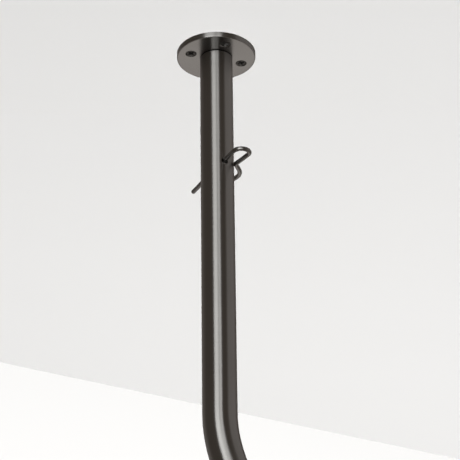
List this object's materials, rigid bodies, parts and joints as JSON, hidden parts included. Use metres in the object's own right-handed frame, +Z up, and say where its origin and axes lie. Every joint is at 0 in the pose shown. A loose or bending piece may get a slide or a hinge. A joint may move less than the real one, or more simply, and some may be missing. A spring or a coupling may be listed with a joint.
{
  "type": "ceiling-hung handrail",
  "caption": "U-shaped round-tube handrail hung from screwed ceiling flanges, each leg locked on an inner spigot by a pull-out spring clip.",
  "frame": {"origin": "centre of flange A's ceiling face", "axes": "+X along the rail to flange B, +Z up into the ceiling, +Y to the side where the clips' straight ends come out"},
  "size_m": [1.068, 0.0861, 0.4995],
  "materials": {
    "rail_steel": "satin gunmetal plated tube",
    "flange_steel": "satin gunmetal plated plate",
    "screw_steel": "dark plated",
    "zinc_screw": "bright zinc",
    "inner_steel": "plain mill steel",
    "nylon": "matte",
    "spring_wire": "satin drawn spring wire"
  },
  "bodies": {
    "fixed_rail": {"rail_tube": "rail_steel", "ceiling_flange_a": "flange_steel", "ceiling_screw_1_a": "screw_steel", "ceiling_screw_2_a": "screw_steel", "ceiling_screw_3_a": "screw_steel", "ceiling_screw_4_a": "screw_steel", "centre_screw_a": "zinc_screw", "spigot_plug_a": "inner_steel", "spigot_tube_a": "inner_steel", "guide_ring_upper_a": "nylon", "guide_ring_lower_a": "nylon", "ceiling_flange_b": "flange_steel", "ceiling_screw_1_b": "screw_steel", "ceiling_screw_2_b": "screw_steel", "ceiling_screw_3_b": "screw_steel", "ceiling_screw_4_b": "screw_steel", "centre_screw_b": "zinc_screw", "spigot_plug_b": "inner_steel", "spigot_tube_b": "inner_steel", "guide_ring_upper_b": "nylon", "guide_ring_lower_b": "nylon"},
    "clip_a": {"clip_pin_a": "spring_wire"},
    "clip_leg_a": {"clip_spring_leg_a": "spring_wire"},
    "clip_b": {"clip_pin_b": "spring_wire"},
    "clip_leg_b": {"clip_spring_leg_b": "spring_wire"}
  },
  "joints": [
    {"name": "clip_a_pull", "type": "slide", "parent": "fixed_rail", "child": "clip_a", "axis": [0, -1, 0], "range_m": [0, 0.07]},
    {"name": "clip_a_leg_open", "type": "hinge", "parent": "clip_a", "child": "clip_leg_a", "pos_m": [0.0072, -0.0367, -0.1142], "axis": [0, 0, -1], "range_deg": [0, 28.2]},
    {"name": "clip_b_pull", "type": "slide", "parent": "fixed_rail", "child": "clip_b", "axis": [0, -1, 0], "range_m": [0, 0.07]},
    {"name": "clip_b_leg_open", "type": "hinge", "parent": "clip_b", "child": "clip_leg_b", "pos_m": [0.9928, -0.0367, -0.1142], "axis": [0, 0, 1], "range_deg": [0, 28.2]}
  ],
  "couplings": [
    {"joint": "clip_a_leg_open", "follows": "clip_a_pull", "rad_per_m": 7},
    {"joint": "clip_b_leg_open", "follows": "clip_b_pull", "rad_per_m": 7}
  ]
}
